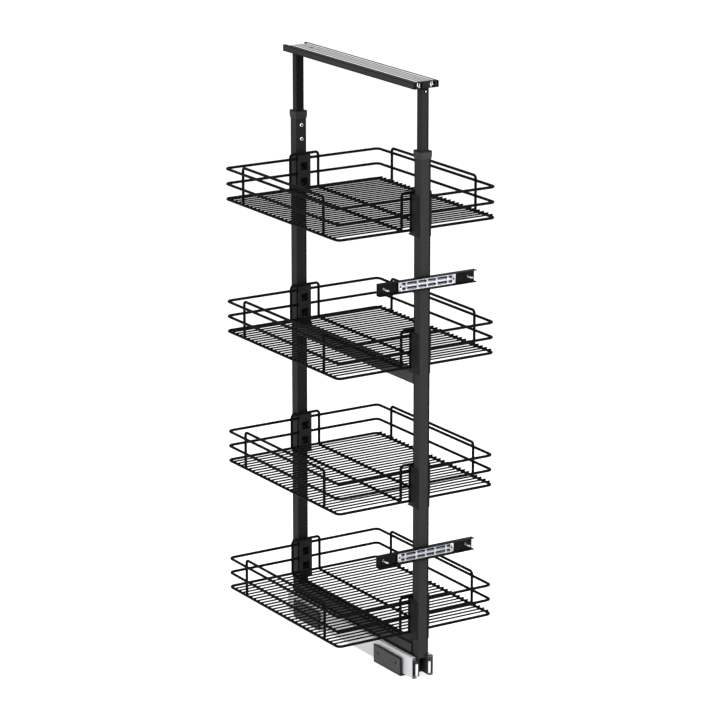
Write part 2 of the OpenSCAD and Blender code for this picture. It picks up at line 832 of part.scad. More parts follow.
// Flush screws behind the holders' windows
module holder_screws() {
    seat_y = face_y - holder_back;
    color([0.12, 0.12, 0.13]) for (s = [-1, 1], ring = ring_zs, z = holder_screw_zs)
        scale([1, s, 1]) translate([0, seat_y, ring + z]) {
            along_y(flush_head, 0, flush_head_height);
            along_y(m4_shank, flush_head_height, holder_back + screw_reach);
        }
}

// ---------------------------------------------------------------- door brackets

door_sheet = 1.8;
door_face = frame_depth / 2;           // front face of the front upright, as a distance
door_screw_z = 5;                      // the two fixing screws lie above and below the centre
adjuster_back = door_sheet + flush_head_height + screw_gap;   // the plate stands over the fixing screws
adjuster_floor = 0.8;                  // sheet left under the plate's slots
adjuster_front = 6.5;
adjuster_foot = 2.4;
adjuster_gap = 1;                      // between the plate and the channel's flanges
adjuster_height = door_bracket_height - 2 * door_sheet - 2 * adjuster_gap;
door_screw_x = 102;
door_screw_shown = 25;                  // length in front of the bracket's back face
door_screw_tip = 4;
door_screw_point = 0.6;
door_screw_neck = 0.5;                 // smooth neck that stands out of the bracket's hole
door_head_height = 2.4;
slot_rows = 4.9;                       // height of a row of slots over or under the centre
slot_height = 6.2;
slot_cols = [[1.4, 21.3], [24.6, 48.6], [51.8, 61]];   // ends of the slots on one side of the centre
end_hole_x = 64;
end_hole = 4;

// Horizontal slot cut along Y, from x0 to x1
module wide_slot(x0, x1, height, y0, y1) {
    for (x = [x0 + height / 2, x1 - height / 2])
        translate([x, 0, 0]) along_y(height, y0, y1);
    box([x0 + height / 2, y0, -height / 2], [x1 - height / 2, y1, height / 2]);
}

// The door brackets are drawn facing +Y and mirrored to the front
module at_door(z) {
    mirror([0, 1, 0]) translate([0, door_face, z]) children();
}

module door_bracket(z) {
    half = door_bracket_length / 2;
    color([0.13, 0.13, 0.14]) at_door(z) difference() {
        box([-half, 0, -door_bracket_height / 2], [half, door_bracket_depth, door_bracket_height / 2]);
        box([-half - cut, door_sheet, -door_bracket_height / 2 + door_sheet],
            [half + cut, door_bracket_depth + cut, door_bracket_height / 2 - door_sheet]);
        for (s = [-1, 1]) {
            translate([0, 0, s * door_screw_z])
                wide_slot(-m4_hole / 2 - door_side_play, m4_hole / 2 + door_side_play, m4_hole, -cut, door_sheet + cut);
            translate([s * door_screw_x, 0, 0]) along_y(m4_hole, -cut, door_sheet + cut);
        }
    }
}

// Adjuster plate: thick plate on a foot at each end, with two rows of pressed slots and a hole at each end
module adjuster_plate(z) {
    half = adjuster_length / 2;
    high = adjuster_height / 2;
    color("gainsboro") at_door(z) difference() {
        union() {
            box([-half, adjuster_back, -high], [half, adjuster_front, high]);
            for (s = [-1, 1]) scale([s, 1, 1])
                box([half - adjuster_foot, door_sheet, -high], [half, adjuster_front, high]);
        }
        for (s = [-1, 1]) scale([s, 1, 1]) {
            for (row = [-1, 1], col = slot_cols)
                translate([0, 0, row * slot_rows])
                    wide_slot(col[0], col[1], slot_height, adjuster_back + adjuster_floor, adjuster_front + cut);
            translate([end_hole_x, 0, 0]) along_y(end_hole, 0, adjuster_front + cut);
        }
    }
}

// Wood screws for the door: head behind the bracket, thread and point in front of it
module door_screws(z) {
    neck_end = door_sheet + door_screw_neck;
    thread_end = door_screw_shown - door_screw_tip;
    color("silver") at_door(z) for (s = [-1, 1])
        translate([s * door_screw_x, 0, 0]) {
            along_y(flush_head, -door_head_height, 0);
            along_y(m4_hole, 0, neck_end);
            along_y(m4_shank, neck_end, thread_end);
            translate([0, thread_end, 0]) rotate([-90, 0, 0])
                cylinder(d1 = m4_shank, d2 = door_screw_point, h = door_screw_tip);
        }
}

module upper_door_bracket() { door_bracket(upper_door_bracket_at); }
module lower_door_bracket() { door_bracket(lower_door_bracket_at); }
module upper_adjuster_plate() { adjuster_plate(upper_door_bracket_at); }
module lower_adjuster_plate() { adjuster_plate(lower_door_bracket_at); }
module upper_door_screws() { door_screws(upper_door_bracket_at); }
module lower_door_screws() { door_screws(lower_door_bracket_at); }

// Screws that hold the door brackets on the front upright, with low heads under the adjuster plates
module door_bracket_screws() {
    color("silver") for (z = [upper_door_bracket_at, lower_door_bracket_at], s = [-1, 1])
        at_door(z + s * door_screw_z) {
            along_y(flush_head, door_sheet, door_sheet + flush_head_height);
            along_y(m4_shank, -screw_reach, door_sheet);
        }
}

floor_bracket_front();
floor_bracket_rear();
floor_bracket_screws();
left_slide_outer();
left_slide_middle();
left_slide_inner();
left_outer_ball_cage();
left_inner_ball_cage();
right_slide_outer();
right_slide_middle();
right_slide_inner();
right_outer_ball_cage();
right_inner_ball_cage();
carriage();
carriage_screws();
lower_rail();
middle_rail();
front_upright();
rear_upright();
front_collar();
rear_collar();
front_inner_tube();
rear_inner_tube();
height_screws();
top_channel();
front_head_bracket();
rear_head_bracket();
head_screws();
top_slide_outer();
top_slide_middle();
top_slide_inner();
top_outer_ball_cage();
top_inner_ball_cage();
top_slide_screws();
top_bumper();
front_holder_1();
front_holder_2();
front_holder_3();
front_holder_4();
rear_holder_1();
rear_holder_2();
rear_holder_3();
rear_holder_4();
holder_screws();
basket_1_rings();
basket_2_rings();
basket_3_rings();
basket_4_rings();
basket_1_grid();
basket_2_grid();
basket_3_grid();
basket_4_grid();
upper_door_bracket();
lower_door_bracket();
upper_adjuster_plate();
lower_adjuster_plate();
upper_door_screws();
lower_door_screws();
door_bracket_screws();
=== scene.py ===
"""Looks of the pull out larder unit, built around its CAD frame. Lengths are in metres."""
import json
import math

import bmesh
import bpy
from mathutils import Matrix, Vector


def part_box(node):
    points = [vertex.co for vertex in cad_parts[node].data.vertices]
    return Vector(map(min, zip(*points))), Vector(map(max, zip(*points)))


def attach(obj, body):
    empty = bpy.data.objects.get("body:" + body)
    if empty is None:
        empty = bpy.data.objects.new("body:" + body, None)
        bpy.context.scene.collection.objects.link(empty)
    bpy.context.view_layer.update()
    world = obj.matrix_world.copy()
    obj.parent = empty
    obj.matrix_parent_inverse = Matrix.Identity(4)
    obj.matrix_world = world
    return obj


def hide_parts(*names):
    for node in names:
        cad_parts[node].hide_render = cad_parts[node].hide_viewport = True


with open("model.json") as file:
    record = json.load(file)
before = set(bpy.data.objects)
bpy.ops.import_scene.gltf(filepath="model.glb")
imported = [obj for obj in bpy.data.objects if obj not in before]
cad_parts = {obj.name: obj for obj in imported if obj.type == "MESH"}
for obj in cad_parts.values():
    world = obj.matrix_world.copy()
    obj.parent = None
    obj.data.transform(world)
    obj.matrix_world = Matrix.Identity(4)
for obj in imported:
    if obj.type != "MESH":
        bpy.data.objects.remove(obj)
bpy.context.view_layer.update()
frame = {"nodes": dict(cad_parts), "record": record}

NODES = frame["nodes"]
MM = 0.001

# ---------------------------------------------------------------- camera

CAMERA_PLACE = (-3.656, -5.815, 2.554)
CAMERA_TURN = 32.18        # degrees from +Y towards +X
CAMERA_DIP = 15.62         # degrees below the horizon
CAMERA_LENS = 169.2        # mm
CAMERA_SENSOR = 36         # mm
CAMERA_REACH = 100         # m


def add_camera():
    data = bpy.data.cameras.new("photo_camera")
    data.lens = CAMERA_LENS
    data.sensor_width = CAMERA_SENSOR
    data.clip_end = CAMERA_REACH
    camera = bpy.data.objects.new("photo_camera", data)
    camera.location = CAMERA_PLACE
    camera.rotation_euler = (math.radians(90 - CAMERA_DIP), 0, -math.radians(CAMERA_TURN))
    bpy.context.scene.collection.objects.link(camera)
    bpy.context.scene.camera = camera


# ---------------------------------------------------------------- node graphs

class Number:
    """A socket's number: each operator on it adds a Math node to its graph."""

    def __init__(self, graph, socket):
        self.graph = graph
        self.socket = socket

    def maths(self, operation, *values):
        return self.graph.out("ShaderNodeMath", {"operation": operation}, dict(enumerate(values)))

    def __add__(self, other):
        return self.maths("ADD", self, other)

    def __sub__(self, other):
        return self.maths("SUBTRACT", self, other)

    def __rsub__(self, other):
        return self.maths("SUBTRACT", other, self)

    def __mul__(self, other):
        return self.maths("MULTIPLY", self, other)

    def __abs__(self):
        return self.maths("ABSOLUTE", self)

    def greater(self, other):
        return self.maths("MAXIMUM", self, other)

    def root(self):
        return self.maths("SQRT", self)

    def repeat(self, low, high):
        return self.maths("WRAP", self, high, low)

    __radd__ = __add__
    __rmul__ = __mul__


class Graph:
    """A shader or geometry node tree, filled one node at a time."""

    def __init__(self, tree):
        self.tree = tree

    def node(self, kind, settings=None, inputs=None):
        made = self.tree.nodes.new(kind)
        for name, value in (settings or {}).items():
            setattr(made, name, value)
        for key, value in (inputs or {}).items():
            self.feed(made.inputs[key], value)
        return made

    def out(self, kind, settings=None, inputs=None, output=0):
        return Number(self, self.node(kind, settings, inputs).outputs[output])

    def feed(self, socket, value):
        if isinstance(value, Number):
            value = value.socket
        if isinstance(value, bpy.types.NodeSocket):
            self.tree.links.new(value, socket)
        else:
            socket.default_value = value


# Stretches of a noise: the smaller the number, the longer the noise is along that axis
EVEN = (1, 1, 1)
ALONG_X = (0.02, 1, 1)
ALONG_Y = (1, 0.02, 1)
ALONG_Z = (1, 1, 0.3)


class Finish(Graph):
    """A material around one Principled shader, with Object coordinates to hand."""

    def __init__(self, name, **shader):
        self.material = bpy.data.materials.new(name)
        self.material.use_nodes = True
        super().__init__(self.material.node_tree)
        self.shader = self.tree.nodes["Principled BSDF"]
        self.place = self.out("ShaderNodeTexCoord", output="Object")
        apart = self.node("ShaderNodeSeparateXYZ", {}, {"Vector": self.place}).outputs
        self.x, self.y, self.z = (Number(self, apart[axis]) for axis in "XYZ")
        self.set(**shader)

    def set(self, **shader):
        for name, value in shader.items():
            self.feed(self.shader.inputs[name.replace("_", " ")], value)

    def noise(self, per_metre, detail=2.0, stretch=EVEN):
        """Noise from 0 to 1, of about that many features in a metre."""
        spread = self.out("ShaderNodeMapping", {}, {"Vector": self.place, "Scale": stretch})
        return self.out("ShaderNodeTexNoise", {}, {"Vector": spread, "Scale": per_metre, "Detail": detail})

    def rise(self, value, start, end):
        """0 on the start's side, 1 on the end's side and smooth between; the start may be the larger."""
        return self.out("ShaderNodeMapRange", {"interpolation_type": "SMOOTHSTEP"},
                        {"Value": value, "From Min": start, "From Max": end})

    def tint(self, first, second, share):
        """Colour from first to second."""
        mix = self.node("ShaderNodeMix", {"data_type": "RGBA"}, {"Factor": share})
        ends = [socket for socket in mix.inputs if socket.type == "RGBA"]
        for socket, colour in zip(ends, (first, second)):
            self.feed(socket, (*colour, 1) if isinstance(colour, tuple) else colour)
        return Number(self, [socket for socket in mix.outputs if socket.type == "RGBA"][0])

    def bump(self, height, strength, depth):
        normal = self.out("ShaderNodeBump", {}, {"Height": height, "Strength": strength, "Distance": depth})
        self.set(Normal=normal)

    def from_axis(self, z):
        """Distance from a line that runs along Y at height z."""
        return (self.x * self.x + (self.z - z) * (self.z - z)).root()


# ---------------------------------------------------------------- finishes

def shade(colour, share):
    return tuple(channel * share for channel in colour)


SHADED = 0.12               # share of its colour that a finish keeps where shade is painted

COAT_TONES = 0.22           # how far the colour wanders to each side
COAT_SPECKLE = 0.55         # share of fine speckle in that, with broad cloud for the rest
COAT_SPREAD = 0.14          # range of the roughness
COAT_PEEL_DEPTH = 0.3 * MM
SPECKLE_RISE = 0.3          # height of the speckle over the peel


def powder_coat(name, colour, roughness=0.55, gloss=0.05, peel=0.25, dark=None):
    """Powder coat: orange peel bump, fine speckle, broad soft change of tone, and painted shade where dark
    is 1.
    """
    finish = Finish(name, Specular_IOR_Level=gloss)
    speckle = finish.noise(per_metre=2600, detail=1.0)
    cloud = finish.noise(per_metre=9, detail=3.0)
    coat = finish.tint(shade(colour, 1 - COAT_TONES), shade(colour, 1 + COAT_TONES),
                       speckle * COAT_SPECKLE + cloud * (1 - COAT_SPECKLE))
    if dark:
        coat = finish.tint(coat, shade(colour, SHADED), dark(finish))
    finish.set(Base_Color=coat)
    finish.set(Roughness=finish.noise(per_metre=700) * COAT_SPREAD + (roughness - COAT_SPREAD / 2))
    finish.bump(finish.noise(per_metre=950, detail=1.5) + speckle * SPECKLE_RISE, peel, COAT_PEEL_DEPTH)
    return finish.material


PLASTIC_GLOSS = 0.1
PLASTIC_DARK, PLASTIC_LIGHT = 0.85, 1.2
PLASTIC_SPREAD = 0.2
PLASTIC_GRAIN = 0.35
PLASTIC_GRAIN_DEPTH = 0.2 * MM


def moulded_plastic(name, colour, roughness=0.6, dark=None):
    """Moulded plastic with a fine spark-eroded grain and faint upright flow marks."""
    finish = Finish(name, Specular_IOR_Level=PLASTIC_GLOSS)
    grain = finish.noise(per_metre=3400)
    flow = finish.noise(per_metre=30, stretch=ALONG_Z)
    skin = finish.tint(shade(colour, PLASTIC_DARK), shade(colour, PLASTIC_LIGHT), flow)
    # Painted shade where dark is 1
    if dark:
        skin = finish.tint(skin, shade(colour, SHADED), dark(finish))
    finish.set(Base_Color=skin)
    finish.set(Roughness=grain * PLASTIC_SPREAD + (roughness - PLASTIC_SPREAD / 2))
    finish.bump(grain, PLASTIC_GRAIN, PLASTIC_GRAIN_DEPTH)
    return finish.material


ZINC_GLOSS = 0.15
ZINC_DARK = 0.9
ZINC_CLOUD = 0.6            # share of cloud in the colour, with rolling lines for the rest
LINE_SPREAD, CLOUD_SPREAD = 0.16, 0.1
ZINC_LINES = 0.12
ZINC_LINE_DEPTH = 0.2 * MM


def zinc_plate(name, colour, roughness, rolled, over=None, metal=1.0):
    """Bright zinc plate: fine rolling lines along one axis, faint clouds, and what over adds to them."""
    finish = Finish(name, Metallic=metal, Specular_IOR_Level=ZINC_GLOSS)
    lines = finish.noise(per_metre=1600, stretch=rolled)
    cloud = finish.noise(per_metre=22, detail=4.0)
    plate = finish.tint(shade(colour, ZINC_DARK), colour, cloud * ZINC_CLOUD + lines * (1 - ZINC_CLOUD))
    if over:
        plate = over(finish, plate)
    finish.set(Base_Color=plate)
    finish.set(Roughness=lines * LINE_SPREAD + cloud * CLOUD_SPREAD
               + (roughness - (LINE_SPREAD + CLOUD_SPREAD) / 2))
    finish.bump(lines, ZINC_LINES, ZINC_LINE_DEPTH)
    return finish.material


SILVER = (0.76, 0.77, 0.8)
TOP_SILVER = (0.74, 0.75, 0.78)
BALL_SILVER = (0.75, 0.75, 0.76)
SCREW_SILVER = (0.8, 0.8, 0.8)
SLIDE_WHITE = (0.9, 0.91, 0.93)
PLATE_SILVER = (0.36, 0.37, 0.4)
BED_GREY = (0.27, 0.27, 0.28)
SLOT_GREY = (0.16, 0.17, 0.19)
SLOT_BLACK = (0.004, 0.004, 0.005)
BLACK = (0.004, 0.004, 0.004)
ANTHRACITE = (0.032, 0.032, 0.033)
TUBE_GREY = (0.025, 0.025, 0.026)
RAIL_GREY = (0.06, 0.06, 0.061)
BRACKET_GREY = (0.09, 0.09, 0.092)
HOLDER_BLACK = (0.012, 0.012, 0.012)
COLLAR_GREY = (0.045, 0.045, 0.046)
PLASTIC_BLACK = (0.009, 0.009, 0.009)
BRACKET_BLACK = (0.008, 0.008, 0.008)
WIRE_BLACK = (0.005, 0.005, 0.0051)

# By material slot, for the nodes without a finish of their own
FINISHES = {
    "frame_coat": powder_coat("anthracite_frame_coat", ANTHRACITE),
    "bracket_black": powder_coat("black_bracket_coat", BRACKET_BLACK, roughness=0.5, gloss=0.04),
    "wire_coat": powder_coat("black_wire_coat", WIRE_BLACK, roughness=0.5, gloss=0.02, peel=0.15),
    "black_screw": powder_coat("black_screw_oxide", BLACK, roughness=0.4, gloss=0.0),
    "black_plastic": moulded_plastic("black_moulded_plastic", PLASTIC_BLACK),
    "slide_steel": zinc_plate("zinc_slide_steel", SILVER, roughness=0.38, rolled=ALONG_Y),
    "cage_steel": zinc_plate("bright_ball_steel", BALL_SILVER, roughness=0.25, rolled=EVEN),
    "zinc_screw": zinc_plate("zinc_screw_plate", SCREW_SILVER, roughness=0.3, rolled=EVEN),
}
SLOT_OF = {part["node"]: part["material_slot"] for part in frame["record"]["subparts"]}
BODY_OF = {node: body for body, nodes in frame["record"]["behaviour"]["bodies"].items() for node in nodes}


# ---------------------------------------------------------------- masks for painted shade
# Each is a function of a finish that gives 1 where shade is painted on the node and 0 elsewhere

SOLID_EDGE = 0.65           # share of a rim, from the edge inwards, where the painted shade is full
SOLID_TOP = 0.4             # the same for the rim around a tube's top


def near_edges(node, rim):
    """Painted shade along the outer edges of a node, over a rim of that width."""
    low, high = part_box(node)

    def mask(finish):
        near = []
        for axis, value in enumerate((finish.x, finish.y, finish.z)):
            middle, half = (low[axis] + high[axis]) / 2, (high[axis] - low[axis]) / 2
            near.append(finish.rise(abs(value - middle), half - rim, half - rim * SOLID_EDGE))
        x, y, z = near
        return (x * y).greater((y * z).greater(z * x))

    return mask


def outline_edges(node, rim):
    """The same painted shade for a tube, but of its upright edges only the two that outline it in the
    photograph.
    """
    low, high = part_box(node)
    edges = near_edges(node, rim)

    def mask(finish):
        corner = (finish.x - (low.x + high.x) / 2) * (finish.y - (low.y + high.y) / 2)
        outlining = finish.rise(corner, 0.0, -rim * rim)
        at_top = finish.rise(finish.z, high.z - rim, high.z - rim * SOLID_TOP)
        return edges(finish) * outlining.greater(at_top)

    return mask


FACE_DEPTH = 0.8 * MM       # the shade on a face is full to this depth and gone at twice it


def outline_and_face(node, rim, share):
    """The same for a rear tube, with painted shade over its whole face towards the baskets, dark by that
    share.
    """
    edges = outline_edges(node, rim)
    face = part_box(node)[0].y
    return lambda finish: edges(finish).greater(
        finish.rise(finish.y, face + 2 * FACE_DEPTH, face + FACE_DEPTH) * share)


CHANNEL_RIM_DEPTH = 1 * MM  # the same, down from the channel's rims


def edges_and_rims(node, rim):
    """Painted shade on the top channel's edges, and over the whole of its two upper rims."""
    edges = near_edges(node, rim)
    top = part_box(node)[1].z
    return lambda finish: edges(finish).greater(
        finish.rise(finish.z, top - 2 * CHANNEL_RIM_DEPTH, top - CHANNEL_RIM_DEPTH))


# A holder's lips and back plate, measured along Y from the middle of the frame, and its windows along X
LIPS_END = 220.5 * MM
BACK_PLATE_STARTS = 222 * MM
WINDOWS_END = 11 * MM
WINDOW_BLUR = 1 * MM


def behind_windows(finish):
    """Painted shade on a holder's back plate, where it is seen through the windows."""
    deep = finish.rise(abs(finish.y), LIPS_END, BACK_PLATE_STARTS)
    return deep * finish.rise(abs(finish.x), WINDOWS_END + WINDOW_BLUR, WINDOWS_END)


# ---------------------------------------------------------------- changes to a zinc plate's colour, most of them painted shade

GROOVE_AT = 14 * MM
GROOVE_HALF = 1.9 * MM
GROOVE_BLUR = 0.4 * MM
BED_HALF = 9 * MM
BED_BLUR = 2 * MM
WALL_SHADE = 1.3 * MM       # width of the shade beside each wall of the channel
WALL_BLUR = 0.5 * MM


def top_slide_back(finish, plate):
    """The top slide's back: a greyer bed, with painted shade in two grooves and along the channel's walls.
    """
    across = abs(finish.x)
    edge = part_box("top_slide_outer")[1].x - WALL_SHADE
    bed = finish.rise(across, BED_HALF + BED_BLUR, BED_HALF)
    groove = finish.rise(abs(across - GROOVE_AT), GROOVE_HALF + GROOVE_BLUR, GROOVE_HALF)
    side = finish.rise(across, edge - WALL_BLUR, edge)
    return finish.tint(finish.tint(plate, BED_GREY, bed), BLACK, groove.greater(side))


# Width and blur of the painted shade at a sheet's ends
END_SHADE = 1.2 * MM
END_SHADE_BLUR = 0.6 * MM


def shaded_sheet_ends(node):
    """Painted shade at the sheared ends of a slide's sheet."""
    low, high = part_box(node)
    middle, end = (low.y + high.y) / 2, (high.y - low.y) / 2 - END_SHADE

    def over(finish, plate):
        return finish.tint(plate, BLACK, finish.rise(abs(finish.y - middle), end - END_SHADE_BLUR, end))

    return over


INNER_MEMBER_END = 252 * MM
INNER_END_HALF = 0.3 * MM
INNER_END_BLUR = 0.2 * MM


def tab_end(finish, plate):
    """Painted shade at the sheared ends of an inner member, with the tab in front of them left bright."""
    off = abs(abs(finish.y) - INNER_MEMBER_END)
    return finish.tint(plate, BLACK, finish.rise(off, INNER_END_HALF + INNER_END_BLUR, INNER_END_HALF))


# The two rows of slots lie one over and one under the plate's middle, each in a strip of this height
ROW_PITCH = 9.8 * MM
SLOT_LIGHT_UP_TO = 2.2 * MM     # heights in a strip
SLOT_DARK_FROM = 5 * MM
SLOT_SHADE_STARTS = 0.05 * MM   # depths behind the plate's front
SLOT_SHADE_FULL = 0.25 * MM


def pressed_slots(node):
    """An adjuster plate's slots: their walls and floors are in shade, darkest under their upper edge."""
    low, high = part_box(node)
    middle = (low.z + high.z) / 2

    def over(finish, plate):
        sunk = finish.rise(finish.y, low.y + SLOT_SHADE_STARTS, low.y + SLOT_SHADE_FULL)
        up = (finish.z - middle).repeat(0.0, ROW_PITCH)
        floor = finish.tint(SLOT_GREY, SLOT_BLACK, finish.rise(up, SLOT_LIGHT_UP_TO, SLOT_DARK_FROM))
        return finish.tint(plate, floor, sunk)

    return over


HEIGHT_SCREW_HEAD = 8 * MM
RECESS_RADIUS = 2.4 * MM
RECESS_BLUR = 0.3 * MM
RECESS_DEPTH = 0.25 * MM


def screw_recesses(finish, plate):
    """Shade in the cross recesses of the screws that clamp the inner tubes, a lower and an upper one."""
    low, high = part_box("height_screws")
    sunk = finish.rise(abs(finish.y), high.y - RECESS_DEPTH, high.y - 2 * RECESS_DEPTH)
    lower, upper = (finish.rise(finish.from_axis(z), RECESS_RADIUS + RECESS_BLUR, RECESS_RADIUS)
                    for z in (low.z + HEIGHT_SCREW_HEAD / 2, high.z - HEIGHT_SCREW_HEAD / 2))
    return finish.tint(plate, BLACK, lower.greater(upper) * sunk)


HEAD_SCREW_HEAD = 5 * MM
# Radii of a screw head's bright middle and of the full painted shade around it
BRIGHT_MIDDLE = 1.1 * MM
RIM_SHADE_FULL = 1.7 * MM


def shaded_rim(finish, plate):
    """The small screws at the tubes' heads carry painted shade around their rims, so they are bright only
    in their middle.
    """
    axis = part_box("head_screws")[0].z + HEAD_SCREW_HEAD / 2
    return finish.tint(plate, BLACK, finish.rise(finish.from_axis(axis), BRIGHT_MIDDLE, RIM_SHADE_FULL))


# ---------------------------------------------------------------- finishes of single nodes

UPRIGHT_RIM = 5.5 * MM
TUBE_RIM = 4.5 * MM
COLLAR_RIM = 3.6 * MM
BRACKET_RIM = 3.2 * MM
LOWER_RAIL_RIM = 4.5 * MM
CHANNEL_RIM = 2.6 * MM
REAR_UPRIGHT_SHADE = 0.6    # how dark the painted shade on the faces towards the baskets is, as a share
REAR_TUBE_SHADE = 0.97


def coated_nodes():
    """The powder coats and plastics of single nodes, most of them with painted shade along the node's own
    edges.
    """
    own = {
        "front_upright": powder_coat("front_upright_coat", ANTHRACITE,
                                     dark=outline_edges("front_upright", UPRIGHT_RIM)),
        "rear_upright": powder_coat("rear_upright_coat", ANTHRACITE, dark=outline_and_face(
            "rear_upright", UPRIGHT_RIM, REAR_UPRIGHT_SHADE)),
        "front_inner_tube": powder_coat("front_tube_coat", TUBE_GREY, gloss=0.04,
                                        dark=outline_edges("front_inner_tube", TUBE_RIM)),
        "rear_inner_tube": powder_coat("rear_tube_coat", TUBE_GREY, gloss=0.04, dark=outline_and_face(
            "rear_inner_tube", TUBE_RIM, REAR_TUBE_SHADE)),
        "front_collar": moulded_plastic("front_collar_plastic", COLLAR_GREY,
                                        dark=outline_edges("front_collar", COLLAR_RIM)),
        "rear_collar": moulded_plastic("rear_collar_plastic", COLLAR_GREY, dark=outline_and_face(
            "rear_collar", COLLAR_RIM, REAR_UPRIGHT_SHADE)),
        "lower_rail": powder_coat("lower_rail_coat", RAIL_GREY,
                                  dark=near_edges("lower_rail", LOWER_RAIL_RIM)),
        "middle_rail": powder_coat("middle_rail_coat", RAIL_GREY),
        "top_channel": powder_coat("top_channel_coat", ANTHRACITE, roughness=0.5, gloss=0.06,
                                   dark=edges_and_rims("top_channel", CHANNEL_RIM)),
    }
    for end in ("front", "rear"):
        bracket = f"floor_bracket_{end}"
        own[bracket] = powder_coat(f"{end}_bracket_coat", BRACKET_GREY, gloss=0.12,
                                   dark=near_edges(bracket, BRACKET_RIM))
    holder = moulded_plastic("black_holder_plastic", HOLDER_BLACK, dark=behind_windows)
    own.update({node: holder for node in NODES if "_holder_" in node})
    return own


def plated_nodes():
    """The zinc plates of single nodes, which change over the node's own shape."""
    own = {
        "top_slide_outer": zinc_plate("zinc_top_slide", TOP_SILVER, roughness=0.38, rolled=ALONG_Y,
                                      over=top_slide_back),
        "height_screws": zinc_plate("zinc_height_screws", SILVER, roughness=0.35, rolled=EVEN,
                                    over=screw_recesses),
        "head_screws": zinc_plate("zinc_head_screws", SILVER, roughness=0.35, rolled=EVEN, over=shaded_rim),
    }
    for side in ("left", "right"):
        for node in (f"{side}_slide_outer", f"{side}_slide_middle"):
            own[node] = zinc_plate(f"zinc_{node}", SLIDE_WHITE, roughness=0.5, rolled=ALONG_Y,
                                   over=shaded_sheet_ends(node), metal=0.15)
        node = f"{side}_slide_inner"
        own[node] = zinc_plate(f"zinc_{node}", SILVER, roughness=0.38, rolled=ALONG_Y, over=tab_end)
    for node in ("upper_adjuster_plate", "lower_adjuster_plate"):
        own[node] = zinc_plate(f"zinc_{node}", PLATE_SILVER, roughness=0.36, rolled=ALONG_X,
                               over=pressed_slots(node))
    return own


def dress_cad_nodes():
    own = {**coated_nodes(), **plated_nodes()}
    for name, node in NODES.items():
        node.data.materials.clear()
        node.data.materials.append(own.get(name) or FINISHES[SLOT_OF[name]])


# ---------------------------------------------------------------- pieces

def add_object(name, mesh):
    piece = bpy.data.objects.new(name, mesh)
    bpy.context.scene.collection.objects.link(piece)
    return piece


def settle(piece):
    """Turns what the modifiers make into the piece's own plain mesh."""
    graph = bpy.context.evaluated_depsgraph_get()
    mesh = bpy.data.meshes.new_from_object(piece.evaluated_get(graph))
    piece.modifiers.clear()
    piece.data = mesh
    return piece


def stand_for(piece, *nodes):
    """The piece rides and shows in place of CAD nodes of one body."""
    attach(piece, BODY_OF[nodes[0]])
    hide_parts(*nodes)


MERGE = 0.01 * MM           # points nearer than this become one
FLAT = math.radians(0.5)    # faces that meet at less than this become one
SHARP = math.radians(35)    # edges that turn by more than this are softened
SOFTENING_STEPS = 2


def soften(node, width):
    """A copy of a CAD node with its sharp edges rounded, as bent, moulded and coated edges are."""
    mesh = NODES[node].data.copy()
    shape = bmesh.new()
    shape.from_mesh(mesh)
    bmesh.ops.remove_doubles(shape, verts=shape.verts, dist=MERGE)
    bmesh.ops.dissolve_limit(shape, angle_limit=FLAT, verts=shape.verts, edges=shape.edges)
    for face in shape.faces:
        face.smooth = True
    shape.to_mesh(mesh)
    shape.free()
    piece = add_object(node + "_finished", mesh)
    bevel = piece.modifiers.new("edges", "BEVEL")
    bevel.width = width
    bevel.segments = SOFTENING_STEPS
    bevel.limit_method = "ANGLE"
    bevel.angle_limit = SHARP
    bevel.harden_normals = True
    bevel.use_clamp_overlap = True
    stand_for(settle(piece), node)


BASKETS = (1, 2, 3, 4)      # from the top down

# Width of each node's softened edges, in mm
SOFT_EDGES = {
    "floor_bracket_front": 0.6, "floor_bracket_rear": 0.6, "carriage": 0.5,
    "front_collar": 0.5, "rear_collar": 0.5, "top_bumper": 0.5,
    "upper_door_bracket": 0.4, "lower_door_bracket": 0.4,
    "upper_adjuster_plate": 0.3, "lower_adjuster_plate": 0.3,
    "front_head_bracket": 0.3, "rear_head_bracket": 0.3,
}
SOFT_EDGES.update({f"{end}_holder_{basket}": 0.5 for end in ("front", "rear") for basket in BASKETS})


def soften_edges():
    for node, width in SOFT_EDGES.items():
        soften(node, width * MM)


# ---------------------------------------------------------------- baskets

RING_WIRE = 6 * MM
GRID_WIRE = 3.6 * MM
HANGER_WIRE = 6 * MM
RINGS = 3
RING_PITCH = 32.6 * MM
RING_CORNER = 10 * MM
GRID_PITCH = 15.6 * MM
HANGER_WIDTH = 69.4 * MM
HANGER_RISE = 11.8 * MM     # of a hanger's top over the upper ring, between centre lines
GUARD_LENGTH = 320 * MM
WIRE_BEND = 7 * MM
WELD_SINK = 0.6 * MM
WIRE_SIDES = 16
GRID_SIDES = 12
BEND_STEPS = 7
BEAD_WIDTH = 0.75           # a weld bead's half width and half height, as shares of the grid's wire
BEAD_HEIGHT = 0.3
BEAD_SEGMENTS, BEAD_RINGS = 8, 5


def new_tree(name, sockets):
    """A geometry node tree with a geometry output and the inputs named in sockets: name to socket type."""
    tree = bpy.data.node_groups.new(name, "GeometryNodeTree")
    for label, kind in sockets.items():
        tree.interface.new_socket(name=label, in_out="INPUT", socket_type=kind)
    tree.interface.new_socket(name="Geometry", in_out="OUTPUT", socket_type="NodeSocketGeometry")
    graph = Graph(tree)
    graph.inside = graph.node("NodeGroupInput").outputs
    return graph


def close_tree(graph, shape):
    """Ends a tree: instances made real, smooth, with the material set."""
    real = graph.out("GeometryNodeRealizeInstances", {}, {"Geometry": shape})
    smooth = graph.out("GeometryNodeSetShadeSmooth", {}, {"Geometry": real})
    done = graph.out("GeometryNodeSetMaterial", {}, {
        "Geometry": smooth, "Material": graph.inside["Material"]})
    graph.node("NodeGroupOutput", {}, {"Geometry": done})
    return graph.tree


